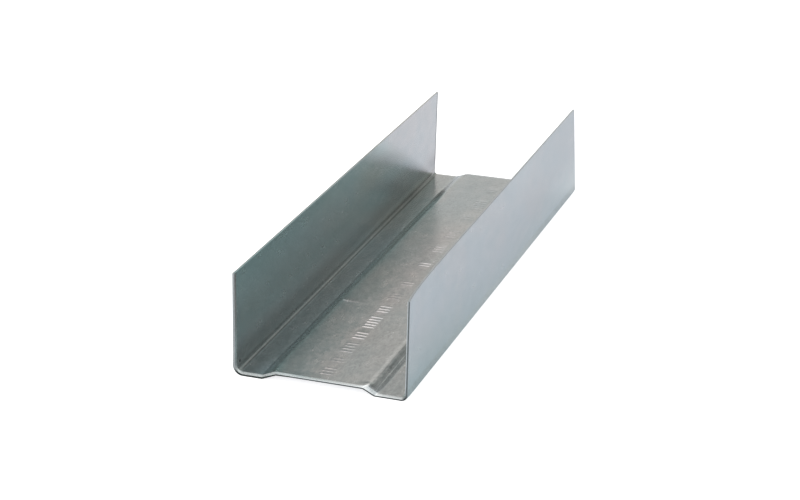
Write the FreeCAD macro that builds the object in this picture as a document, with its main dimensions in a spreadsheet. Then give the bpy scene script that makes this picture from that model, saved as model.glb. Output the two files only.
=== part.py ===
"""Drywall track: one cut length of roll-formed galvanised steel channel.

The web lies flat, its middle raised between two side pads by small ramps, and a
flange stands up from each side through a rounded corner. The flanges lean in a
little, and the near cut end lets the right one spring outwards.
Sizes are in millimetres and angles in degrees.
Frame: X across the web, Y along the track with the near cut end at -Y, Z up.
The origin is midway along the track, in the plane that the side pads rest on.
"""
import FreeCAD, Part
import math
import os
import Sketcher

NODE = "drywall_track"

# Driving dimensions: alias, value, meaning
SIZES = (
    ("track_length", 160.0, "cut length"),
    ("web_width", 48.0, "outside width across the web, to the sharp outer corners"),
    ("left_height", 28.5, "outside height of the left flange when square"),
    ("right_height", 27.7, "outside height of the right flange when square"),
    ("sheet_thickness", 0.6, "sheet thickness"),
    ("corner_radius", 0.8, "inside radius between web and flange"),
    ("pad_width", 7.9, "side pad, from the sharp outer corner to the foot of the ramp"),
    ("ramp_run", 2.7, "width of each ramp"),
    ("ramp_rise", 1.4, "height of the raised middle above the pads"),
    ("foot_radius", 0.9, "inside radius at the foot of each ramp, on the upper face"),
    ("crest_radius", 1.4, "inside radius at the top of each ramp, on the lower face"),
    ("left_toe_near", 1.25, "lean of the left flange inwards at the near end"),
    ("left_toe_far", 1.8, "lean of the left flange inwards at the far end"),
    ("right_toe_near", 1.1, "lean of the right flange inwards next to its flare"),
    ("right_toe_far", 2.45, "lean of the right flange inwards at the far end"),
    ("right_flare", 2.6, "turn of the right flange outwards at the near cut"),
    ("flare_fade", 9.0, "length over which that turn falls to about a third"),
)

# Shares of the length, from the near end, at which a flange's section is drawn
STATIONS = (0.0, 0.06, 0.13, 0.25, 0.5, 0.75, 1.0)

# How far an edge may lie from the place where it is looked for
SPOT_TOLERANCE = 1e-4

# Expressions worked out from the sheet
OUTER_RADIUS = "(Sizes.corner_radius + Sizes.sheet_thickness)"
BEND_CENTRE = f"(Sizes.web_width / 2 - {OUTER_RADIUS})"
RAMP_FOOT = "(Sizes.web_width / 2 - Sizes.pad_width)"
RAMP_TOP = f"({RAMP_FOOT} - Sizes.ramp_run)"
RAMP_SHIFT = "(Sizes.sheet_thickness * tan(atan(Sizes.ramp_rise / Sizes.ramp_run) / 2))"


def make_sheet(doc):
    sheet = doc.addObject("Spreadsheet::Sheet", "Sizes")
    for row, (alias, value, meaning) in enumerate(SIZES, start=1):
        sheet.set(f"A{row}", meaning)
        sheet.set(f"B{row}", str(value))
        sheet.setAlias(f"B{row}", alias)
    doc.recompute()
    return sheet


def cross_section_sketch(body, name, offset):
    """A sketch square to the track, whose plane is offset towards the near end."""
    plane = next(item for item in body.Origin.OriginFeatures if item.Role == "XZ_Plane")
    sketch = body.newObject("Sketcher::SketchObject", name)
    sketch.AttachmentSupport = (plane, "")
    sketch.MapMode = "FlatFace"
    sketch.setExpression("AttachmentOffset.Base.z", offset)
    return sketch


def value_of(sketch, expression):
    result = sketch.evalExpression(expression)
    return float(getattr(result, "Value", result))


def drive(sketch, kind, geometry, expression):
    """Add a dimension to the sketch and bind it to the sheet."""
    value = value_of(sketch, expression)
    if kind == "Angle":
        value = math.radians(value)
    index = sketch.addConstraint(Sketcher.Constraint(kind, *geometry, value))
    sketch.setExpression(f"Constraints[{index}]", expression)


def fix(sketch, kind, *geometry):
    sketch.addConstraint(Sketcher.Constraint(kind, *geometry))


def web_sketch(body):
    """Closed outline of the web between the two corner bends, even about the Z axis."""
    sketch = cross_section_sketch(body, "web_section", "-Sizes.track_length / 2")
    thick = "Sizes.sheet_thickness"
    raised = "Sizes.ramp_rise"
    right_side = (
        (RAMP_TOP, raised),
        (RAMP_FOOT, "0"),
        (BEND_CENTRE, "0"),
        (BEND_CENTRE, thick),
        (f"{RAMP_FOOT} + {RAMP_SHIFT}", thick),
        (f"{RAMP_TOP} + {RAMP_SHIFT}", f"{raised} + {thick}"),
    )
    right = [FreeCAD.Vector(value_of(sketch, x), value_of(sketch, z), 0) for x, z in right_side]
    left = [FreeCAD.Vector(-point.x, point.y, 0) for point in reversed(right)]
    outline = right + left
    count = len(outline)
    for index, point in enumerate(outline):
        sketch.addGeometry(Part.LineSegment(point, outline[(index + 1) % count]), False)
    for index in range(count):
        fix(sketch, "Coincident", index, 2, (index + 1) % count, 1)
    for index, (x, z) in enumerate(right_side):
        mirrored = count - 1 - index
        fix(sketch, "Symmetric", index, 1, mirrored, 1, -2)
        drive(sketch, "DistanceX", (mirrored, 1, index, 1), f"2 * ({x})")
        if z == "0":
            fix(sketch, "PointOnObject", index, 1, -1)
        else:
            drive(sketch, "DistanceY", (-1, 1, index, 1), z)
    return sketch


def lengthwise_edges(shape, spots):
    """Names of the edges along the track that pass through the given (x, z) spots."""
    names = []
    for index, edge in enumerate(shape.Edges, start=1):
        start, end = edge.Vertexes[0].Point, edge.Vertexes[-1].Point
        along = math.hypot(start.x - end.x, start.z - end.z) < SPOT_TOLERANCE
        if along and any(math.hypot(start.x - x, start.z - z) < SPOT_TOLERANCE for x, z in spots):
            names.append(f"Edge{index}")
    return names


def round_edges(body, base, name, spot, radius):
    """Round the two lengthwise edges, one on each side, that pass through a spot."""
    x, z = spot
    both_sides = [(-x, z), (x, z)]
    edges = lengthwise_edges(base.Shape, both_sides)
    if len(edges) != len(both_sides):
        raise RuntimeError(f"{name}: found {len(edges)} edges")
    fillet = body.newObject("PartDesign::Fillet", name)
    fillet.Base = (base, edges)
    fillet.setExpression("Radius", radius)
    body.Document.recompute()
    return fillet


def build_web(doc, body, sheet):
    sketch = web_sketch(body)
    pad = body.newObject("PartDesign::Pad", "web")
    pad.Profile = sketch
    pad.setExpression("Length", "Sizes.track_length")
    doc.recompute()

    foot = value_of(sheet, RAMP_FOOT)
    top = value_of(sheet, RAMP_TOP)
    shift = value_of(sheet, RAMP_SHIFT)
    thick = sheet.sheet_thickness
    rise = sheet.ramp_rise
    bends = (
        ("foot_inside", (foot + shift, thick), "Sizes.foot_radius"),
        ("foot_outside", (foot, 0.0), "Sizes.foot_radius + Sizes.sheet_thickness"),
        ("crest_inside", (top, rise), "Sizes.crest_radius"),
        ("crest_outside", (top + shift, rise + thick), "Sizes.crest_radius + Sizes.sheet_thickness"),
    )
    shaped = pad
    for name, spot, radius in bends:
        shaped = round_edges(body, shaped, name, spot, radius)


def flange_section(body, side, index, share, lean_out):
    """Section of one corner bend and its flange, at a share of the length."""
    right = side == "right"
    hand = 1 if right else -1
    sketch = cross_section_sketch(body, f"{side}_section_{index}",
                                  f"Sizes.track_length * {0.5 - share}")
    turn = "-" if right else "+"
    direction = f"(90 {turn} ({lean_out})) * 1 deg"
    outer = value_of(sketch, OUTER_RADIUS)
    inner = value_of(sketch, "Sizes.corner_radius")
    thick = outer - inner
    run = value_of(sketch, f"Sizes.{side}_height - {OUTER_RADIUS}")
    lean = math.radians(value_of(sketch, lean_out))
    centre = FreeCAD.Vector(hand * value_of(sketch, BEND_CENTRE), outer, 0)
    along = FreeCAD.Vector(hand * math.sin(lean), math.cos(lean), 0)
    outwards = FreeCAD.Vector(hand * math.cos(lean), -math.sin(lean), 0)
    down = FreeCAD.Vector(0, -1, 0)

    def bend(radius):
        circle = Part.Circle(centre, FreeCAD.Vector(0, 0, 1), radius)
        if right:
            return Part.ArcOfCircle(circle, -math.pi / 2, -lean)
        return Part.ArcOfCircle(circle, math.pi + lean, 3 * math.pi / 2)

    outer_foot = centre + outwards * outer
    inner_foot = centre + outwards * inner
    outer_tip = outer_foot + along * run
    inner_tip = inner_foot + along * run
    outer_bend, outer_face, tip, inner_face, inner_bend, seam = range(6)
    sketch.addGeometry([
        bend(outer),
        Part.LineSegment(outer_foot, outer_tip),
        Part.LineSegment(outer_tip, inner_tip),
        Part.LineSegment(inner_tip, inner_foot),
        bend(inner),
        Part.LineSegment(centre + down * inner, centre + down * outer),
    ], False)

    web_end, flange_end = (1, 2) if right else (2, 1)
    fix(sketch, "Tangent", outer_bend, flange_end, outer_face, 1)
    fix(sketch, "Coincident", outer_face, 2, tip, 1)
    fix(sketch, "Coincident", tip, 2, inner_face, 1)
    fix(sketch, "Tangent", inner_face, 2, inner_bend, flange_end)
    fix(sketch, "Coincident", inner_bend, web_end, seam, 1)
    fix(sketch, "Coincident", seam, 2, outer_bend, web_end)
    fix(sketch, "Coincident", inner_bend, 3, outer_bend, 3)
    fix(sketch, "Vertical", outer_bend, 3, outer_bend, web_end)
    fix(sketch, "Vertical", seam)
    fix(sketch, "Parallel", outer_face, inner_face)
    fix(sketch, "Perpendicular", outer_face, tip)
    across = (-1, 1, outer_bend, 3) if right else (outer_bend, 3, -1, 1)
    drive(sketch, "DistanceX", across, BEND_CENTRE)
    drive(sketch, "DistanceY", (-1, 1, outer_bend, 3), OUTER_RADIUS)
    drive(sketch, "Radius", (outer_bend,), OUTER_RADIUS)
    drive(sketch, "Radius", (inner_bend,), "Sizes.corner_radius")
    drive(sketch, "Distance", (outer_face,), f"Sizes.{side}_height - {OUTER_RADIUS}")
    drive(sketch, "Angle", (outer_face,), direction)
    return sketch


def build_flange(doc, body, side):
    """Loft one corner bend and flange through sections whose lean changes."""
    near, far = f"Sizes.{side}_toe_near", f"Sizes.{side}_toe_far"
    sections = []
    for index, share in enumerate(STATIONS, start=1):
        lean_out = f"-({near} + ({far} - {near}) * {share})"
        if side == "right":
            fade = f"exp(-{share} * Sizes.track_length / Sizes.flare_fade)"
            lean_out += f" + Sizes.right_flare * {fade}"
        sections.append(flange_section(body, side, index, share, lean_out))
    loft = body.newObject("PartDesign::AdditiveLoft", f"{side}_flange")
    loft.Profile = sections[0]
    loft.Sections = sections[1:]
    doc.recompute()


def check_document(doc, body):
    failed = [item.Label for item in doc.Objects if {"Invalid", "Error"} & set(item.State)]
    if failed:
        raise RuntimeError(f"failed objects: {failed}")
    if body.Shape.isNull() or not body.Shape.isValid():
        raise RuntimeError("the track's shape is not valid")
    if len(body.Shape.Solids) != 1:
        raise RuntimeError(f"the track has {len(body.Shape.Solids)} solids")


def main():
    doc = FreeCAD.newDocument("DrywallTrack")
    sheet = make_sheet(doc)
    body = doc.addObject("PartDesign::Body", "Track")
    body.Label = NODE
    build_web(doc, body, sheet)
    build_flange(doc, body, "left")
    build_flange(doc, body, "right")
    body.Placement = FreeCAD.Placement()
    doc.recompute()
    check_document(doc, body)

    os.makedirs("parts", exist_ok=True)
    body.Shape.exportStep(f"parts/{NODE}.step")
    box = body.Shape.BoundBox
    print(f"{NODE}: volume {body.Shape.Volume:.1f} mm3, {len(body.Shape.Faces)} faces")
    print(f"box X {box.XMin:.2f}..{box.XMax:.2f}  Y {box.YMin:.2f}..{box.YMax:.2f}"
          f"  Z {box.ZMin:.2f}..{box.ZMax:.2f}")


main()
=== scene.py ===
"""Looks of the drywall track: one sheet of zinc-coated steel with its finish and edges."""
import math

import bpy
from mathutils import Matrix, Vector, noise


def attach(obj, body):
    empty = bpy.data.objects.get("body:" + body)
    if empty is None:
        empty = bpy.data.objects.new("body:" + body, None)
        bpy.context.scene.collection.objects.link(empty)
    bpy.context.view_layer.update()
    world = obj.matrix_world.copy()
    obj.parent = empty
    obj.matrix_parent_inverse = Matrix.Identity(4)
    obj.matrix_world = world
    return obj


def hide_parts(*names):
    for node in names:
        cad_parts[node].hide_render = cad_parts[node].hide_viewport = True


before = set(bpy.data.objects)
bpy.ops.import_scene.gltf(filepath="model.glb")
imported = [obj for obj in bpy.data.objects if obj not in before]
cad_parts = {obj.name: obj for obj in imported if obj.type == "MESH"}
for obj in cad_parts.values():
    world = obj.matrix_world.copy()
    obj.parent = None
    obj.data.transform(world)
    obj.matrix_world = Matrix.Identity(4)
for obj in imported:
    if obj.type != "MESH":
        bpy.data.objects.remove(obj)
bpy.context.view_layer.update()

MM = 0.001
NODE = "drywall_track"

# Driving dimensions of the track, in millimetres and degrees
LENGTH = 160.0
WIDTH = 48.0
HEIGHT = {"left": 28.5, "right": 27.7}
SHEET = 0.6
CORNER_RADIUS = {"left": 0.8, "right": 0.55}
PAD_WIDTH = 7.9
RAMP_RUN = 2.7
RAMP_RISE = 1.4
FOOT_RADIUS = 0.9
CREST_RADIUS = 1.4
TOE_NEAR = {"left": 1.25, "right": 1.1}
TOE_FAR = {"left": 1.8, "right": 2.45}
FLARE = {"left": 0.0, "right": 2.6}
FLARE_FADE = 9.0

# The shear pressed the section out of shape beside the cuts
RAMP_SPREAD = {"left": 1.3, "right": 0.5}
FOOT_SHIFT = {"left": -0.2, "right": -1.05}
CORNER_SPREAD = {"left": 1.35, "right": 0.5}
WEB_LIFT = 0.2
PRESS_FADE = 1.8

# Cut ends: the inside face rolls over towards the cut, by (distance from it, drop)
CUT_ROLL = ((0.0, 0.20), (0.25, 0.14), (0.7, 0.045), (1.1, 0.01), (1.5, 0.0))
# Share of that drop on the flanges and on the left pad
CUT_ROLL_UPRIGHT = 0.3
CUT_ROLL_LEFT_PAD = 0.5
# Rows of faces beside the cut that are burnished inside and torn outside
SHINY_ROWS = 3
BURR_ROWS = 1
# The burr reaches out furthest under the left pad at the near end
CUT_BURR_INSET = 0.02
BURR_REACH = 0.25
# Share of the cut face that is sheared bright
SHEAR_SHARE = 0.1
SHEAR_SHARE_RIGHT_FLANGE = 0.28
# Where these change across the track and upwards, as (start, run)
LEFT_PAD_ACROSS = (-12.5, -3.0)
BURR_ACROSS = (-7.0, -6.0)
BURR_UP = (5.0, -3.0)
RIGHT_FLANGE_ACROSS = (21.0, 1.5)
RIGHT_FLANGE_UP = (1.0, 2.0)

# The right ramp's upper edge bulges a little just behind the near cut
BULGE_HEIGHT = 0.34
BULGE_PLACE = (12.7, 2.0)
BULGE_HALF_SIZE = (2.0, 2.4)

# Marks pressed up in the web: plain bars across it, as (distance of the first, count, height)
MARK_GROUPS = ((4.5, 3, 0.07), (12.5, 2, 0.05), (19.0, 4, 0.07), (28.0, 3, 0.12), (35.5, 5, 0.14),
               (46.5, 3, 0.11), (56.0, 3, 0.05), (66.5, 2, 0.07), (81.5, 2, 0.11), (93.0, 3, 0.09),
               (105.0, 4, 0.07), (121.0, 2, 0.06), (130.0, 5, 0.06), (146.0, 2, 0.05))
MARK_PITCH = 1.7
MARK_HALF_WIDTH = 0.42
MARK_MIDDLE = 0.1
MARK_HALF_SPAN = 1.9
MARK_END_SHARE = 0.22

# A shallow crease across the web beside the left ramp
CREASE_ALONG = 50.6
CREASE_HALF_WIDTH = 1.2
CREASE_HEIGHT = 0.16
CREASE_START = -14.0
CREASE_END = -5.5

# Slow unevenness of the sheet
WAVE_HEIGHT = 0.03
WAVE_LENGTH = 45.0

# Faces round each bend and along each straight run of the section
CREST_FACES = 6
RAMP_FACES = 3
FOOT_FACES = 5
PAD_FACES = 3
CORNER_FACES = 10
FLANGE_FACES = 10
MARK_FACES = 20
WEB_PLACES_LEFT = (-12.0, -10.5, -9.0, -7.5, -5.0)
WEB_PLACES_RIGHT = (5.0, 8.0, 10.5)
# Distance of the close row of points beside the end of a run
SUPPORT = 0.04

# Rows of points along the track: beside the near cut, then by a gap, and over each mark and the
# crease at shares of its half width
ROWS_BESIDE_CUT = (0.5, 0.9, 1.3, 1.7, 2.1)
ROW_GAP_NEAR = 1.5
ROW_GAP = 4.0
NEAR_ROWS_END = 30.0
MARK_ROWS = (-1.1, -0.7, -0.35, 0.0, 0.35, 0.7, 1.1)
CREASE_ROWS = (-1.0, -0.75, -0.5, -0.25, 0.0, 0.25, 0.5, 0.75, 1.0)
SMALLEST_GAP = 0.03

# Slots of the sheet's materials
INSIDE, SHEARED_FACE, TORN_FACE, SLIT_FACE, OUTSIDE = range(5)
SHARP_ANGLE = 40.0

MARKS = [(start + i * MARK_PITCH, height)
         for start, count, height in MARK_GROUPS for i in range(count)]


def bell(share):
    """Smooth rise and fall: 1 at share 0 and 0 from share 1 outwards."""
    return 0.0 if abs(share) >= 1 else 0.5 + 0.5 * math.cos(math.pi * share)


def smooth(share):
    """Smooth step from 0 to 1."""
    share = min(1.0, max(0.0, share))
    return share * share * (3 - 2 * share)


def fade(value, start, run):
    """Smooth step from 0 at start to 1 a run further on; the run may be negative."""
    return smooth((value - start) / run)


def mark_lift(x, along):
    """Height of the pressed bars over the web at a place on it."""
    reach = abs(x - MARK_MIDDLE) / MARK_HALF_SPAN
    ends = fade(reach, 1.0, -MARK_END_SHARE)
    if ends == 0:
        return 0.0
    return ends * sum(height * bell((along - place) / MARK_HALF_WIDTH) for place, height in MARKS)


def bulge_lift(x, along):
    """Height of the bulge at the right ramp's upper edge."""
    across, back = BULGE_PLACE
    half_across, half_along = BULGE_HALF_SIZE
    return BULGE_HEIGHT * bell((x - across) / half_across) * bell((along - back) / half_along)


def crease_lift(x, along):
    """Height of the crease, which is strongest at the ramp and runs out over the web."""
    share = (x - CREASE_START) / (CREASE_END - CREASE_START)
    return CREASE_HEIGHT * bell((along - CREASE_ALONG) / CREASE_HALF_WIDTH) * smooth(1 - share)


def lean_out(side, along):
    """Lean of a flange outwards, in radians, at a distance from the near end."""
    share = along / LENGTH
    toe = TOE_NEAR[side] + (TOE_FAR[side] - TOE_NEAR[side]) * share
    return math.radians(FLARE[side] * math.exp(-along / FLARE_FADE) - toe)


def shares(length, count):
    """Shares along a straight stretch, with a close one beside each end."""
    inner = [i / count for i in range(1, count)]
    close = SUPPORT / length
    return [close] + inner + [1 - close]


def line(start, end, count):
    """Points between two ends with the normal on their left."""
    run = end - start
    normal = Vector((-run.y, run.x)).normalized()
    return [(start.lerp(end, share), normal) for share in shares(run.length, count)]


def bend(centre, radius, first, last, count, facing):
    """Points of an arc; facing is -1 where the inside of the channel is at its centre."""
    points = []
    for i in range(count + 1):
        angle = first + (last - first) * i / count
        direction = Vector((math.cos(angle), math.sin(angle)))
        points.append((centre + radius * direction, facing * direction))
    return points


def near_press(along):
    """How far the shear pressed the section at a distance from a cut, 1 at the cut itself."""
    return math.exp(-along / PRESS_FADE)


def side_section(side, along):
    """Middle line of the sheet from the edge of the raised web to the flange's tip, at +X."""
    lean = lean_out(side, along)
    pressed = near_press(along) + near_press(LENGTH - along)
    run = RAMP_RUN + RAMP_SPREAD[side] * pressed
    half = SHEET / 2
    height = RAMP_RISE + WEB_LIFT * near_press(along)
    slope_angle = math.atan(height / run)
    shift = half * math.tan(slope_angle / 2) + FOOT_SHIFT[side] * pressed
    foot = Vector((WIDTH / 2 - PAD_WIDTH + shift, half))
    crest = Vector((foot.x - run, half + height))
    slope = (foot - crest).normalized()
    foot_radius = FOOT_RADIUS + half
    crest_radius = CREST_RADIUS + half
    foot_tangent = foot_radius * math.tan(slope_angle / 2)
    crest_tangent = crest_radius * math.tan(slope_angle / 2)
    web_end = Vector((crest.x - crest_tangent, crest.y))
    pad_start = Vector((foot.x + foot_tangent, foot.y))
    outer = CORNER_RADIUS[side] + SHEET + CORNER_SPREAD[side] * near_press(along)
    corner = Vector((WIDTH / 2 - outer, outer))
    quarter = math.pi / 2

    points = bend(web_end - Vector((0, crest_radius)), crest_radius,
                  quarter, quarter - slope_angle, CREST_FACES, 1)
    points += line(crest + slope * crest_tangent, foot - slope * foot_tangent, RAMP_FACES)
    points += bend(pad_start + Vector((0, foot_radius)), foot_radius,
                   -quarter - slope_angle, -quarter, FOOT_FACES, -1)
    points += line(pad_start, Vector((corner.x, half)), PAD_FACES)
    points += bend(corner, outer - half, -quarter, -lean, CORNER_FACES, -1)
    start = corner + (outer - half) * Vector((math.cos(lean), -math.sin(lean)))
    tip = start + (HEIGHT[side] - outer) * Vector((math.sin(lean), math.cos(lean)))
    points += line(start, tip, FLANGE_FACES)
    points.append((tip, points[-1][1]))
    return points


def web_columns(left_end, right_end):
    """Places across the raised web, close together over the marks."""
    low, high = MARK_MIDDLE - MARK_HALF_SPAN, MARK_MIDDLE + MARK_HALF_SPAN
    columns = [left_end + SUPPORT, *WEB_PLACES_LEFT, low - SUPPORT]
    columns += [low + (high - low) * i / MARK_FACES for i in range(MARK_FACES + 1)]
    columns += [high + SUPPORT, *WEB_PLACES_RIGHT, right_end - SUPPORT]
    return columns


def section(along):
    """Points and inward normals of the sheet's middle line, from left tip to right tip."""
    right = side_section("right", along)
    left = [(Vector((-p.x, p.y)), Vector((-n.x, n.y)))
            for p, n in reversed(side_section("left", along))]
    level = right[0][0].y
    up = Vector((0, 1))
    web = [(Vector((x, level + mark_lift(x, along) + crease_lift(x, along))), up)
           for x in web_columns(left[-1][0].x, right[0][0].x)]
    points = left + web + right
    return [(point + Vector((0, bulge_lift(point.x, along))), normal) for point, normal in points]


def rows():
    """Distances along the track at which the section is laid, between the two cut ends."""
    start = CUT_ROLL[-1][0]
    places = {start + gap for gap in ROWS_BESIDE_CUT}
    places.add(LENGTH - start - ROWS_BESIDE_CUT[0])
    along = start + 1
    while along < LENGTH - start - 1:
        places.add(round(along, 3))
        along += ROW_GAP_NEAR if along < NEAR_ROWS_END else ROW_GAP
    for mark, _ in MARKS:
        places |= {round(mark + share * MARK_HALF_WIDTH, 3) for share in MARK_ROWS}
    places |= {round(CREASE_ALONG + share * CREASE_HALF_WIDTH, 3) for share in CREASE_ROWS}
    kept = []
    for place in sorted(places):
        if start < place < LENGTH - start and (not kept or place - kept[-1] > SMALLEST_GAP):
            kept.append(place)
    return kept


def ring_rows():
    """(distance, drawn in on the inside, drawn in on the outside) for every ring of points."""
    rolled = [(place, drop, 0.0 if place else CUT_BURR_INSET) for place, drop in CUT_ROLL]
    middle = [(place, 0.0, 0.0) for place in rows()]
    far = [(LENGTH - place, inside, outside) for place, inside, outside in reversed(rolled)]
    return rolled + middle + far


def sheet_wave(point, along):
    """Slow unevenness, square to the sheet, in millimetres."""
    place = Vector((point.x, along, point.y)) / WAVE_LENGTH
    return WAVE_HEIGHT * noise.noise(place)


def burr_reach(x, height):
    """How far the burr at the near end reaches out under the left pad and its corner."""
    return BURR_REACH * fade(x, *BURR_ACROSS) * fade(height, *BURR_UP)


def ring(along, inside_inset, outside_inset):
    """Points round the sheet's section, in metres: on its inside face and on its outside face."""
    half = SHEET / 2
    y = along - LENGTH / 2
    inside, outside = [], []
    for point, normal in section(along):
        upright = abs(normal.y) < 0.5
        wave = sheet_wave(point, along) if upright else 0.0
        roll = inside_inset * (CUT_ROLL_UPRIGHT + (1 - CUT_ROLL_UPRIGHT) * normal.y ** 2)
        roll *= 1 - (1 - CUT_ROLL_LEFT_PAD) * fade(point.x, *LEFT_PAD_ACROSS)
        a = point + normal * (half - roll + wave)
        b = point + normal * (-half + outside_inset + wave)
        inside.append(Vector((a.x, y, a.y)) * MM)
        reach = burr_reach(b.x, b.y) if along == 0 else 0.0
        outside.append(Vector((b.x, y - reach, b.y)) * MM)
    return inside, outside


def shear_share(place):
    """Share of the cut face that is sheared bright, more up the right flange."""
    up = fade(place.x / MM, *RIGHT_FLANGE_ACROSS) * fade(place.z / MM, *RIGHT_FLANGE_UP)
    return SHEAR_SHARE + (SHEAR_SHARE_RIGHT_FLANGE - SHEAR_SHARE) * up


def make_track():
    """The sheet as one closed mesh, with a material slot on each face."""
    verts, faces, slots = [], [], []

    def keep(points):
        start = len(verts)
        verts.extend(points)
        return list(range(start, len(verts)))

    rings = [ring(*row) for row in ring_rows()]
    inside = [keep(r[0]) for r in rings]
    outside = [keep(r[1]) for r in rings]

    def quads(first, second, material):
        for i in range(len(first) - 1):
            faces.append((first[i], first[i + 1], second[i + 1], second[i]))
            slots.append(material)

    def halves(top, middle, bottom, materials, turned):
        for upper, lower, material in zip((top, middle), (middle, bottom), materials):
            first, second = (upper, lower) if turned else (lower, upper)
            quads(first, second, material)

    for row, (near, far) in enumerate(zip(inside, inside[1:])):
        quads(near, far, SHEARED_FACE if row < SHINY_ROWS else INSIDE)
    for row, (near, far) in enumerate(zip(outside, outside[1:])):
        quads(far, near, TORN_FACE if row < BURR_ROWS else OUTSIDE)

    def cut_face(top, bottom, turned):
        middle = keep([verts[a].lerp(verts[b], shear_share(verts[a])) for a, b in zip(top, bottom)])
        halves(top, middle, bottom, (SHEARED_FACE, TORN_FACE), turned)
        return middle

    near_middle = cut_face(inside[0], outside[0], False)
    far_middle = cut_face(inside[-1], outside[-1], True)

    def tip_face(index, turned):
        top = [r[index] for r in inside]
        bottom = [r[index] for r in outside]
        middle = [near_middle[index]] + keep(
            [verts[a].lerp(verts[b], 0.5) for a, b in zip(top[1:-1], bottom[1:-1])])
        middle.append(far_middle[index])
        halves(top, middle, bottom, (INSIDE, SLIT_FACE), not turned)

    tip_face(0, False)
    tip_face(-1, True)

    mesh = bpy.data.meshes.new("track_sheet")
    mesh.from_pydata(verts, [], faces)
    mesh.validate()
    for polygon, slot in zip(mesh.polygons, slots):
        polygon.material_index = slot
    mesh.shade_smooth()
    mesh.set_sharp_from_angle(angle=math.radians(SHARP_ANGLE))
    piece = bpy.data.objects.new("track_sheet", mesh)
    bpy.context.collection.objects.link(piece)
    return piece


# Finish of the metal

class Graph:
    """A material's nodes, with short ways to add the usual ones."""

    def __init__(self, name):
        self.material = bpy.data.materials.new(name)
        self.material.use_nodes = True
        self.tree = self.material.node_tree
        self.shader = self.tree.nodes["Principled BSDF"]

    def add(self, kind, **settings):
        node = self.tree.nodes.new(kind)
        for setting, value in settings.items():
            setattr(node, setting, value)
        return node

    def feed(self, socket, value):
        if isinstance(value, bpy.types.NodeSocket):
            self.tree.links.new(value, socket)
        else:
            socket.default_value = value

    def math(self, operation, first, second=0.0, third=0.0):
        node = self.add("ShaderNodeMath", operation=operation)
        for socket, value in zip(node.inputs, (first, second, third)):
            self.feed(socket, value)
        return node.outputs[0]

    def times(self, first, second):
        return self.math("MULTIPLY", first, second)

    def step(self, value, low, high, start=0.0, end=1.0):
        """Smooth step of a value between two limits."""
        node = self.add("ShaderNodeMapRange", interpolation_type="SMOOTHSTEP")
        for socket, entry in zip(node.inputs, (value, low, high, start, end)):
            self.feed(socket, entry)
        return node.outputs[0]

    def levels(self, value, table):
        """Straight runs between the (value, colour) pairs of a table."""
        low, high = table[0][0], table[-1][0]
        node = self.add("ShaderNodeValToRGB")
        stops = node.color_ramp.elements
        while len(stops) < len(table):
            stops.new(0.5)
        for stop, (entry, colour) in zip(stops, table):
            stop.position = (entry - low) / (high - low)
            stop.color = (*colour, 1)
        share = self.math("DIVIDE", self.math("SUBTRACT", value, low), high - low)
        self.feed(node.inputs["Fac"], share)
        return node.outputs["Color"]

    def peak(self, value, middle, half_width, height=1.0):
        """The height at the middle, falling smoothly to 0 at half_width from it."""
        away = self.math("ABSOLUTE", self.math("SUBTRACT", value, middle))
        return self.step(away, 0.0, half_width, height, 0.0)

    def place(self):
        """Position on the object in millimetres, and its three parts."""
        coordinates = self.add("ShaderNodeTexCoord")
        scaled = self.add("ShaderNodeVectorMath", operation="SCALE")
        self.feed(scaled.inputs["Vector"], coordinates.outputs["Object"])
        scaled.inputs["Scale"].default_value = 1 / MM
        parts = self.add("ShaderNodeSeparateXYZ")
        self.feed(parts.inputs[0], scaled.outputs[0])
        return scaled.outputs[0], parts.outputs

    def noise(self, place, sizes, detail=2.0, seed=0.0):
        """Noise about 0, whose blotches measure about sizes (x, y, z) in millimetres."""
        stretch = self.add("ShaderNodeMapping")
        self.feed(stretch.inputs["Vector"], place)
        stretch.inputs["Location"].default_value = (seed, seed, seed)
        stretch.inputs["Scale"].default_value = [1 / size for size in sizes]
        texture = self.add("ShaderNodeTexNoise")
        self.feed(texture.inputs["Vector"], stretch.outputs[0])
        texture.inputs["Scale"].default_value = 1.0
        texture.inputs["Detail"].default_value = detail
        return self.math("SUBTRACT", texture.outputs["Fac"], 0.5)

    def mix(self, factor, first, second, blend="MIX"):
        node = self.add("ShaderNodeMix", data_type="RGBA", blend_type=blend)
        colours = [socket for socket in node.inputs if socket.type == "RGBA"]
        self.feed(node.inputs["Factor"], factor)
        self.feed(colours[0], first)
        self.feed(colours[1], second)
        return next(socket for socket in node.outputs if socket.type == "RGBA")

    def tinted(self, share, colour, tint):
        """A colour multiplied by a tint where share is 1."""
        return self.mix(share, colour, self.mix(1.0, colour, tint, "MULTIPLY"))

    def shade(self, colour, amount):
        """Multiply a colour by a plain amount."""
        node = self.add("ShaderNodeVectorMath", operation="SCALE")
        self.feed(node.inputs["Vector"], colour)
        self.feed(node.inputs["Scale"], amount)
        return node.outputs[0]

    def sum(self, *values):
        total = values[0]
        for value in values[1:]:
            total = self.math("ADD", total, value)
        return total

    def part(self, values, entry):
        """One part of a zone, made by rise, hump or value_of."""
        kind, name, numbers = entry
        if kind == "rise":
            return self.step(values[name], *numbers)
        if kind == "hump":
            return self.peak(values[name], *numbers)
        return values[name]

    def zone(self, values, parts):
        """Product of a zone's parts."""
        product = self.part(values, parts[0])
        for entry in parts[1:]:
            product = self.times(product, self.part(values, entry))
        return product

    def tint_zones(self, colour, values, table, mask=1.0):
        """A colour multiplied by the tint of each zone in a table."""
        for _, tint, *parts in table:
            colour = self.tinted(self.times(self.zone(values, parts), mask), colour, tint)
        return colour

    def zone_levels(self, values, table):
        """Sum of the zones in a table."""
        return self.sum(*(self.zone(values, parts) for _, *parts in table))


def rise(name, low, high, start=0.0, end=1.0):
    """Part of a zone: a smooth step of a value between two limits."""
    return "rise", name, (low, high, start, end)


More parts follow.
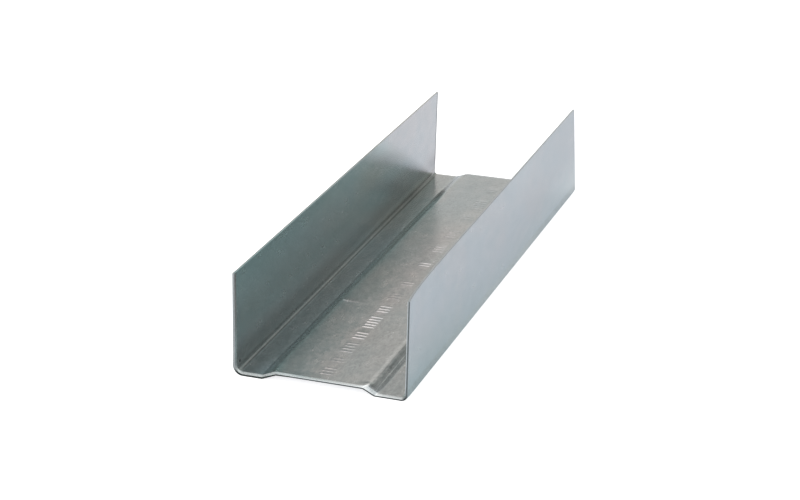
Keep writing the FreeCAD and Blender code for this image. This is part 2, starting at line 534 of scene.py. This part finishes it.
def hump(name, middle, half_width, height=1.0):
    """Part of a zone: a smooth peak of a value about its middle."""
    return "hump", name, (middle, half_width, height)


def value_of(name):
    """Part of a zone: a value as it is."""
    return "value", name, ()


# Noise patterns: sizes of the blotches (x, y, z) in millimetres, detail and seed
BROAD = ((16, 22, 16), 1.0, 3.0)
CLOUD = ((3.0, 5.5, 3.0), 3.0, 11.0)
MOTTLE = ((0.8, 1.7, 0.8), 2.0, 5.0)
GRAIN = ((0.5, 0.5, 5.0), 2.0, 8.0)
FLECKS = ((0.7, 1.3, 0.7), 1.0, 14.0)
STREAKS = ((0.16, 7.0, 5.0), 2.0, 2.0)
EDGE_MARKS = ((0.35, 0.35, 0.35), 2.0, 4.0)

# How much each pattern does to the brightness, the warmth and the roughness
CLOUD_LEVEL = 0.26
GRAIN_LEVEL = 0.08
MOTTLE_LEVEL = 0.14
MOTTLE_LEVEL_MORE_ON_WEB = 0.36
FLECK_LIMITS = (0.06, 0.16)
FLECK_LEVEL = -0.09
STREAK_LEVEL = 0.8
CLOUD_WARMTH = 0.6
MOTTLE_WARMTH = 0.5
WARMTH_LIMITS = (-0.2, 0.2)
ROUGHNESS = 0.25
CLOUD_ROUGHNESS = 0.10
MOTTLE_ROUGHNESS = 0.06
BUMP_STRENGTH = 0.07
BUMP_DISTANCE = 0.02
METAL_SHARE = 0.92
SPECULAR_LEVEL = 0.5

# Where the parts of the sheet are
ON_WEB = rise("z", 2.6, 3.4, 1.0, 0.0)
ON_LEFT_FLANGE = rise("x", -22.0, -22.6)
ON_RIGHT_FLANGE = rise("x", 22.0, 22.6)
RIGHT_RAMP = (rise("x", 13.2, 13.5), rise("x", 15.7, 16.2, 1.0, 0.0))
MOTTLE_FADE = rise("y", -40, 60, 1.0, 0.2)
LEFT_RAMP_CALM = hump("x", -15.0, 2.0, 0.6)

# Colours of the zinc, from the cool end to the warm end of its clouds
FLANGE_ZINC = ((0.435, 0.475, 0.495, 1), (0.46, 0.475, 0.485, 1))
WEB_ZINC = ((0.446, 0.473, 0.474, 1), (0.470, 0.475, 0.468, 1))
# Painted shade on the left ramp: a darker teal tint over the riser, weaker towards the far end
LEFT_RAMP_PAINTED_SHADE = (0.43, 0.54, 0.53, 1)
LEFT_RAMP_SHADE_ZONE = (hump("x", -14.6, 2.6), rise("y", 50, 64, 1.0, 0.35))
PLAIN = (1.0, 1.0, 1.0, 1)

# Painted reflection and shade tints of zones on the web's inside, under and over the painted shade
# of the left ramp
LOWER_WEB_PAINTED_TINTS = (
    ("left half", (1.19, 1.075, 1.065, 1),
     rise("x", -13.5, -10.0), rise("x", -3.0, 6.0, 1.0, 0.0), rise("y", 10, 45, 1.0, 0.0)),
)
UPPER_WEB_PAINTED_TINTS = (
    ("far left ramp", (0.88, 1.01, 1.04, 1),
     hump("x", -14.6, 2.2), rise("y", 25, 50), rise("y", 66, 54)),
    ("far web", (0.98, 1.01, 1.03, 1), rise("x", -13.5, -11.0), rise("y", 35, 55)),
    ("left pad", (1.03, 1.06, 1.10, 1), rise("x", -13.5, -16.0), rise("y", 45, 15)),
    ("near left pad", (1.16, 1.20, 1.24, 1), hump("x", -16.5, 4.5), rise("y", -66, -77)),
    ("near web", (0.90, 1.02, 1.02, 1), hump("x", -12.2, 2.6), rise("y", -70, -77)),
)

# Painted light and shade: levels of zones on the web's inside, added to the plain level
WEB_PAINTED_LIGHT = (
    ("far left pad", rise("x", -15.5, -17.0), rise("y", 40, 60, 0.0, -0.07)),
    ("left ramp's foot", hump("x", -16.7, 0.55, 0.06)),
    ("left ramp", hump("x", -15.0, 1.7), rise("y", 48, 62, 0.5, -0.5)),
    ("left ramp's upper edge", hump("x", -13.8, 0.9), rise("y", -30, 40, 0.42, -0.06)),
    ("web beside the left ramp", hump("x", -10.0, 5.0), rise("y", 0, 25, 0.0, -0.03)),
    ("middle", hump("x", -4.0, 7.0), rise("y", -30, 20, 0.06, -0.05)),
    ("far right of the web", rise("x", 2, 12), rise("y", 20, 50, 0.0, -0.13)),
    ("right ramp's upper edge", hump("x", 12.6, 0.9, 0.24)),
    ("right ramp", *RIGHT_RAMP, rise("x", 13.8, 15.2, -0.31, -0.15),
     rise("y", -79, -72, 0.1, 1.0), rise("y", -60, -20, 1.0, 0.8)),
    ("line rolled into the right ramp", hump("x", 15.08, 0.16, 0.6)),
    ("right pad", rise("x", 16.2, 17.0), rise("y", -40, -60, 0.0, -0.10)),
    ("foot of the left bend", hump("x", -22.5, 0.8), rise("y", 0, 50, 0.7, 0.05)),
)
# Painted shade in the left bend and painted light just over it
BEND_PAINTED_LIGHT = (
    ("in the left bend", rise("x", -22.7, -23.0), rise("z", 1.1, 1.5, 1.0, 0.0),
     rise("y", -10, 60, 0.08, -0.22)),
    ("over the left bend", rise("x", -22.9, -23.2), hump("z", 2.7, 1.8), value_of("unlit"),
     rise("y", -30, 50, 0.05, 0.5)),
)

# The left flange gets a painted reflection of the floor behind the track, painted lit where reach =
# y + slope * z passes from one limit to the other; each is (value at z = 0, growth with z), so it
# is softer higher up
LIT_SLOPE = 2.27
LIT_LIMITS = ((77.2, 0.3), (81.8, 0.7))
LIT_TINT = (1.11, 1.06, 1.045, 1)
LEFT_FLANGE_PAINTED_LIGHT = (
    ("border of the lit part, high", hump("reach", 81.5, 11.0), rise("z", 13.0, 22.0, 0.12, -0.2)),
    ("border of the lit part, low", hump("reach", 72.5, 14.0), rise("z", 24.0, 11.0, 0.0, 0.46)),
    ("foot of the lit part", rise("y", 58, 76), rise("z", 11.0, 4.0, 0.0, -0.30), value_of("lit")),
    ("far cut", rise("y", 78.7, 79.2, 0.0, -0.55), rise("z", 3.0, 6.0)),
)
# Painted reflection tints near the top of the left flange
LEFT_FLANGE_PAINTED_TINTS = (
    ("near top", (0.80, 0.96, 0.965, 1), rise("y", 10, -70), rise("z", 6, 22)),
    ("far top", (1.05, 0.97, 0.92, 1), rise("y", 0, 20), value_of("unlit"), rise("z", 13, 20)),
)

# Painted shade of the flanges by height: the left one where it isn't lit, darkest at its bend, and
# the right one at its near end, darkest low there, in its middle and at its far end, with the zones
# in which one passes into the next
LEFT_FLANGE_SHADE_BY_HEIGHT = ((2.0, (0.42, 0.40, 0.385)), (5.0, (0.425, 0.40, 0.385)),
                     (9.0, (0.515, 0.51, 0.50)), (15.0, (0.655, 0.69, 0.69)),
                     (21.0, (0.82, 0.89, 0.90)), (26.0, (0.89, 1.03, 1.03)))
RIGHT_NEAR_SHADE_BY_HEIGHT = ((1.0, (0.74, 0.87, 0.85)), (8.0, (0.87, 0.95, 0.935)),
                    (18.0, (0.97, 0.99, 1.0)))
RIGHT_MIDDLE_SHADE_BY_HEIGHT = ((3.0, (0.975, 1.01, 0.99)), (10.0, (1.0, 1.0, 1.0)))
RIGHT_FAR_SHADE_BY_HEIGHT = ((5.0, (1.03, 1.06, 1.04)), (14.0, (0.88, 0.89, 0.90)))
RIGHT_NEAR_END = rise("y", -70, 0)
RIGHT_FAR_START = rise("y", 10, 60)

# A dark speck in the near left corner; its edge is soft from a share of its radius outwards
SPECK_COLOUR = (0.01, 0.01, 0.01, 1)
SPECK_PLACE = (-23.4, -77.0, 2.65)
SPECK_RADIUS = 0.55
SPECK_CORE = 0.6


def zinc(name, outside):
    """Hot-dip zinc: cloudy tint, fine mottling, rolling marks on the ramps, with painted light and
    shade: painted shade at the bends, painted highlights and reflections on the web and flanges.
    """
    g = Graph(name)
    place, (x, y, z) = g.place()
    if outside:
        x = g.math("MAXIMUM", x, 0.0)
    reach = g.math("MULTIPLY_ADD", z, LIT_SLOPE, y)
    lit = g.step(reach, *(g.math("MULTIPLY_ADD", z, growth, low) for low, growth in LIT_LIMITS))
    values = {"x": x, "y": y, "z": z, "reach": reach, "lit": lit,
              "unlit": g.math("SUBTRACT", 1.0, lit)}
    on_web = g.part(values, ON_WEB)
    on_left = g.part(values, ON_LEFT_FLANGE)
    on_right = g.part(values, ON_RIGHT_FLANGE)

    cloud = g.noise(place, *CLOUD)
    mottle = g.times(g.noise(place, *MOTTLE), g.part(values, MOTTLE_FADE))
    streaks = g.times(g.noise(place, *STREAKS), g.zone(values, RIGHT_RAMP))

    warmth = g.sum(g.noise(place, *BROAD), g.times(cloud, CLOUD_WARMTH),
                   g.times(mottle, MOTTLE_WARMTH))
    warmth = g.step(warmth, *WARMTH_LIMITS)
    tint = g.mix(on_web, g.mix(warmth, *FLANGE_ZINC), g.mix(warmth, *WEB_ZINC))
    # Painted reflection and shade tints on the web, below and above the left ramp's painted shade
    tint = g.tint_zones(tint, values, LOWER_WEB_PAINTED_TINTS, on_web)
    # Painted shade of the left ramp
    tint = g.mix(g.times(g.zone(values, LEFT_RAMP_SHADE_ZONE), on_web), tint, LEFT_RAMP_PAINTED_SHADE)
    tint = g.tint_zones(tint, values, UPPER_WEB_PAINTED_TINTS, on_web)

    # Painted light and shade of the flanges: the floor's painted reflection and shade by height on
    # the left one, shade by height on the right one
    left_painted_tint = g.mix(lit, g.levels(z, LEFT_FLANGE_SHADE_BY_HEIGHT), LIT_TINT)
    left_painted_tint = g.tint_zones(left_painted_tint, values, LEFT_FLANGE_PAINTED_TINTS)
    right_painted_tint = g.mix(g.part(values, RIGHT_NEAR_END), g.levels(z, RIGHT_NEAR_SHADE_BY_HEIGHT),
                       g.levels(z, RIGHT_MIDDLE_SHADE_BY_HEIGHT))
    right_painted_tint = g.mix(g.part(values, RIGHT_FAR_START), right_painted_tint, g.levels(z, RIGHT_FAR_SHADE_BY_HEIGHT))
    flange_painted_tint = g.mix(on_right, g.mix(on_left, PLAIN, left_painted_tint), right_painted_tint)
    tint = g.mix(1.0, tint, flange_painted_tint, "MULTIPLY")

    fine = g.times(mottle, g.math("MULTIPLY_ADD", on_web, MOTTLE_LEVEL_MORE_ON_WEB, MOTTLE_LEVEL))
    fine = g.times(fine, g.math("SUBTRACT", 1.0, g.part(values, LEFT_RAMP_CALM)))
    flecks = g.times(g.step(g.noise(place, *FLECKS), *FLECK_LIMITS), on_web)
    even = g.sum(1.0, g.times(cloud, CLOUD_LEVEL), fine, g.times(flecks, FLECK_LEVEL),
                 g.times(g.noise(place, *GRAIN), GRAIN_LEVEL))
    # Painted light and shade of the web, plus the streaks on the right ramp
    web_painted_level_and_streaks = g.sum(g.zone_levels(values, WEB_PAINTED_LIGHT), g.times(streaks, STREAK_LEVEL))
    # Painted light and shade on the left flange
    left_painted_level = g.zone_levels(values, LEFT_FLANGE_PAINTED_LIGHT)
    # The plain level with the painted light and shade of the web, the left flange and the left bend
    level = g.sum(even, g.times(web_painted_level_and_streaks, on_web), g.times(left_painted_level, on_left),
                  g.zone_levels(values, BEND_PAINTED_LIGHT))

    away = g.add("ShaderNodeVectorMath", operation="DISTANCE")
    g.feed(away.inputs[0], place)
    away.inputs[1].default_value = SPECK_PLACE
    core = SPECK_RADIUS * SPECK_CORE
    clean = g.step(away.outputs["Value"], core, SPECK_RADIUS)
    g.feed(g.shader.inputs["Base Color"], g.mix(clean, SPECK_COLOUR, g.shade(tint, level)))
    g.feed(g.shader.inputs["Metallic"], g.times(clean, METAL_SHARE))
    g.feed(g.shader.inputs["Specular IOR Level"], g.times(clean, SPECULAR_LEVEL))
    g.feed(g.shader.inputs["Roughness"],
           g.sum(ROUGHNESS, g.times(cloud, CLOUD_ROUGHNESS), g.times(mottle, MOTTLE_ROUGHNESS)))
    bump = g.add("ShaderNodeBump")
    bump.inputs["Strength"].default_value = BUMP_STRENGTH
    bump.inputs["Distance"].default_value = BUMP_DISTANCE * MM
    g.feed(bump.inputs["Height"], g.sum(mottle, streaks))
    g.feed(g.shader.inputs["Normal"], bump.outputs["Normal"])
    return g.material


# Zones of the cut edges
RIGHT_HALF = rise("x", -1.0, 1.0)
EDGE_FLANGES = (rise("z", 0.8, 2.0), rise("away", 21.0, 22.5))
EDGE_LEFT_FOOT = (rise("x", -5.0, -9.0), rise("z", 3.0, 2.4))
EDGE_FAR_PART = (0.0, 60.0)
EDGE_MARK_ROUGHNESS = 0.2


def edge_metal(name, colours, roughness, variation, far_gain=1.0, scatter=0.0):
    """Bare steel of a cut edge, with fine marks, in the colours of its zones."""
    g = Graph(name)
    place, (x, y, z) = g.place()
    values = {"x": x, "y": y, "z": z, "away": g.math("ABSOLUTE", x)}
    marks = g.noise(place, *EDGE_MARKS)
    flange = g.mix(g.part(values, RIGHT_HALF), (*colours["left flange"], 1),
                   (*colours["right flange"], 1))
    colour = g.mix(g.zone(values, EDGE_FLANGES), g.levels(x, colours["flat"]), flange)
    level = g.times(g.math("MULTIPLY_ADD", marks, variation, 1.0),
                    g.step(y, *EDGE_FAR_PART, 1.0, far_gain))
    g.feed(g.shader.inputs["Base Color"], g.shade(colour, level))
    g.shader.inputs["Metallic"].default_value = 1.0
    if scatter:
        g.feed(g.shader.inputs["Metallic"],
               g.math("MULTIPLY_ADD", g.zone(values, EDGE_LEFT_FOOT), -scatter, 1.0))
    g.feed(g.shader.inputs["Roughness"],
           g.math("MULTIPLY_ADD", marks, EDGE_MARK_ROUGHNESS, roughness))
    return g.material


# Colours of the cut edges: on the flanges, and by x on the flat parts between them
SHEARED = {"left flange": (0.44, 0.46, 0.46), "right flange": (0.62, 0.66, 0.67),
           "flat": ((-16.0, (0.88, 0.92, 0.92)), (-11.0, (0.78, 0.82, 0.82)),
                    (-1.0, (0.64, 0.68, 0.68)), (6.0, (0.72, 0.75, 0.75)),
                    (14.5, (0.74, 0.77, 0.77)), (17.5, (0.50, 0.52, 0.52)),
                    (22.0, (0.46, 0.48, 0.48)))}
# Torn faces: the bare steel's duller fracture colour, made darker still as a painted shadow line
# along the lower edge of the cuts
TORN_AND_SHADOW = {"left flange": (0.38, 0.40, 0.40), "right flange": (0.17, 0.19, 0.19),
        "flat": ((-16.0, (0.06, 0.07, 0.07)), (-12.0, (0.05, 0.06, 0.06)),
                 (-2.0, (0.12, 0.13, 0.13)), (16.0, (0.08, 0.09, 0.09)))}
SLIT = {"left flange": (0.30, 0.30, 0.29), "right flange": (0.34, 0.36, 0.37),
        "flat": ((-16.0, (0.30, 0.32, 0.33)), (16.0, (0.30, 0.32, 0.33)))}

track = make_track()
track.data.materials.append(zinc("zinc_inside", False))
track.data.materials.append(
    edge_metal("sheared_zinc", SHEARED, roughness=0.3, variation=0.4, scatter=0.6))
track.data.materials.append(edge_metal("torn_steel_and_shadow", TORN_AND_SHADOW, roughness=0.5, variation=0.6))
track.data.materials.append(
    edge_metal("slit_edge", SLIT, roughness=0.4, variation=0.6, far_gain=1.5))
track.data.materials.append(zinc("zinc_outside", True))
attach(track, "root")
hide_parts(NODE)


# Stage and light

FLOOR_SIZE = 8.0
FLOOR_DROP = 0.00002
FLOOR_COLOUR = (0.80, 0.80, 0.80, 1)
FLOOR_GLOW_SEEN = 0.74
FLOOR_GLOW_MIRRORED = 0.23
FLOOR_MIRROR_TINT = (0.78, 0.90, 1.12, 1)

# Colour of the studio as the metal mirrors it, by height of the direction (its sine)
CEILING = ((0.62, (0.58, 0.58, 0.58)), (0.70, (1.30, 1.30, 1.30)), (0.82, (2.00, 2.00, 2.00)),
           (0.92, (1.30, 1.30, 1.30)), (0.98, (0.95, 0.95, 0.95)))
LEFT_STUDIO = ((0.00, (0.80, 0.80, 0.80)), (0.20, (0.90, 0.89, 0.87)), (0.36, (0.87, 0.855, 0.82)),
               (0.45, (0.66, 0.64, 0.61)), (0.54, (0.50, 0.50, 0.49)), *CEILING)
RIGHT_STUDIO = ((0.00, (0.62, 0.62, 0.60)), (0.22, (0.56, 0.60, 0.58)), (0.36, (0.60, 0.76, 0.71)),
                (0.45, (0.56, 0.67, 0.64)), (0.54, (0.50, 0.55, 0.53)), *CEILING)
# The left wall passes into the right one over this much of the direction's X on either side
WALL_BLEND = 0.35


def make_floor():
    bpy.ops.mesh.primitive_plane_add(size=FLOOR_SIZE, location=(0, 0, -FLOOR_DROP))
    floor = bpy.context.object
    floor.name = "floor"
    g = Graph("floor")
    g.tree.nodes.remove(g.shader)
    output = g.tree.nodes["Material Output"]
    diffuse = g.add("ShaderNodeBsdfDiffuse")
    diffuse.inputs["Color"].default_value = FLOOR_COLOUR
    path = g.add("ShaderNodeLightPath")
    glow = g.add("ShaderNodeEmission")
    mirrored = g.times(path.outputs["Is Glossy Ray"], FLOOR_GLOW_MIRRORED)
    seen = path.outputs["Is Camera Ray"]
    g.feed(glow.inputs["Color"], g.mix(seen, FLOOR_MIRROR_TINT, PLAIN))
    g.feed(glow.inputs["Strength"], g.math("MULTIPLY_ADD", seen, FLOOR_GLOW_SEEN, mirrored))
    both = g.add("ShaderNodeAddShader")
    g.feed(both.inputs[0], diffuse.outputs[0])
    g.feed(both.inputs[1], glow.outputs[0])
    g.feed(output.inputs["Surface"], both.outputs[0])
    floor.data.materials.append(g.material)


def make_world():
    """White light all round; mirrored in metal, a studio with darker walls and a bright ceiling."""
    world = bpy.data.worlds.new("studio")
    bpy.context.scene.world = world
    world.use_nodes = True
    nodes, links = world.node_tree.nodes, world.node_tree.links
    background = nodes["Background"]
    coordinates = nodes.new("ShaderNodeTexCoord")
    parts = nodes.new("ShaderNodeSeparateXYZ")
    links.new(coordinates.outputs["Generated"], parts.inputs[0])

    def wall(heights):
        ramp = nodes.new("ShaderNodeValToRGB")
        stops = ramp.color_ramp.elements
        while len(stops) < len(heights):
            stops.new(0.5)
        for stop, (height, colour) in zip(stops, heights):
            stop.position = height
            stop.color = (*colour, 1)
        links.new(parts.outputs["Z"], ramp.inputs["Fac"])
        return ramp.outputs["Color"]

    def mix(factor, first, second):
        node = nodes.new("ShaderNodeMix")
        node.data_type = "RGBA"
        colours = [socket for socket in node.inputs if socket.type == "RGBA"]
        links.new(factor, node.inputs["Factor"])
        for socket, value in zip(colours, (first, second)):
            if isinstance(value, bpy.types.NodeSocket):
                links.new(value, socket)
            else:
                socket.default_value = value
        return next(socket for socket in node.outputs if socket.type == "RGBA")

    across = nodes.new("ShaderNodeMapRange")
    across.interpolation_type = "SMOOTHSTEP"
    links.new(parts.outputs["X"], across.inputs["Value"])
    across.inputs["From Min"].default_value = -WALL_BLEND
    across.inputs["From Max"].default_value = WALL_BLEND
    studio = mix(across.outputs[0], wall(LEFT_STUDIO), wall(RIGHT_STUDIO))
    path = nodes.new("ShaderNodeLightPath")
    links.new(mix(path.outputs["Is Glossy Ray"], PLAIN, studio), background.inputs["Color"])


# Camera: angles in degrees, place in millimetres, and its lens in pixels of the photo
CAMERA_YAW = 19.83
CAMERA_PITCH = 22.23
CAMERA_PLACE = (182.26, -524.19, 234.27)
FOCAL_PIXELS = 2075.43
PHOTO_WIDTH = 800
SENSOR = 36.0
CLIP_START = 0.01


def make_camera():
    camera = bpy.data.objects.new("camera", bpy.data.cameras.new("camera"))
    bpy.context.collection.objects.link(camera)
    yaw, pitch = math.radians(CAMERA_YAW), math.radians(CAMERA_PITCH)
    forward = Vector((-math.sin(yaw) * math.cos(pitch), math.cos(yaw) * math.cos(pitch),
                      -math.sin(pitch)))
    right = Vector((math.cos(yaw), math.sin(yaw), 0))
    turn = Matrix((right, right.cross(forward), -forward)).transposed()
    camera.matrix_world = Matrix.Translation(Vector(CAMERA_PLACE) * MM) @ turn.to_4x4()
    camera.data.sensor_width = SENSOR
    camera.data.lens = FOCAL_PIXELS / PHOTO_WIDTH * SENSOR
    camera.data.clip_start = CLIP_START
    bpy.context.scene.camera = camera


make_floor()
make_world()
make_camera()
bpy.context.scene.view_settings.view_transform = "Standard"

print("triangles", sum(len(p.vertices) - 2 for p in track.data.polygons))
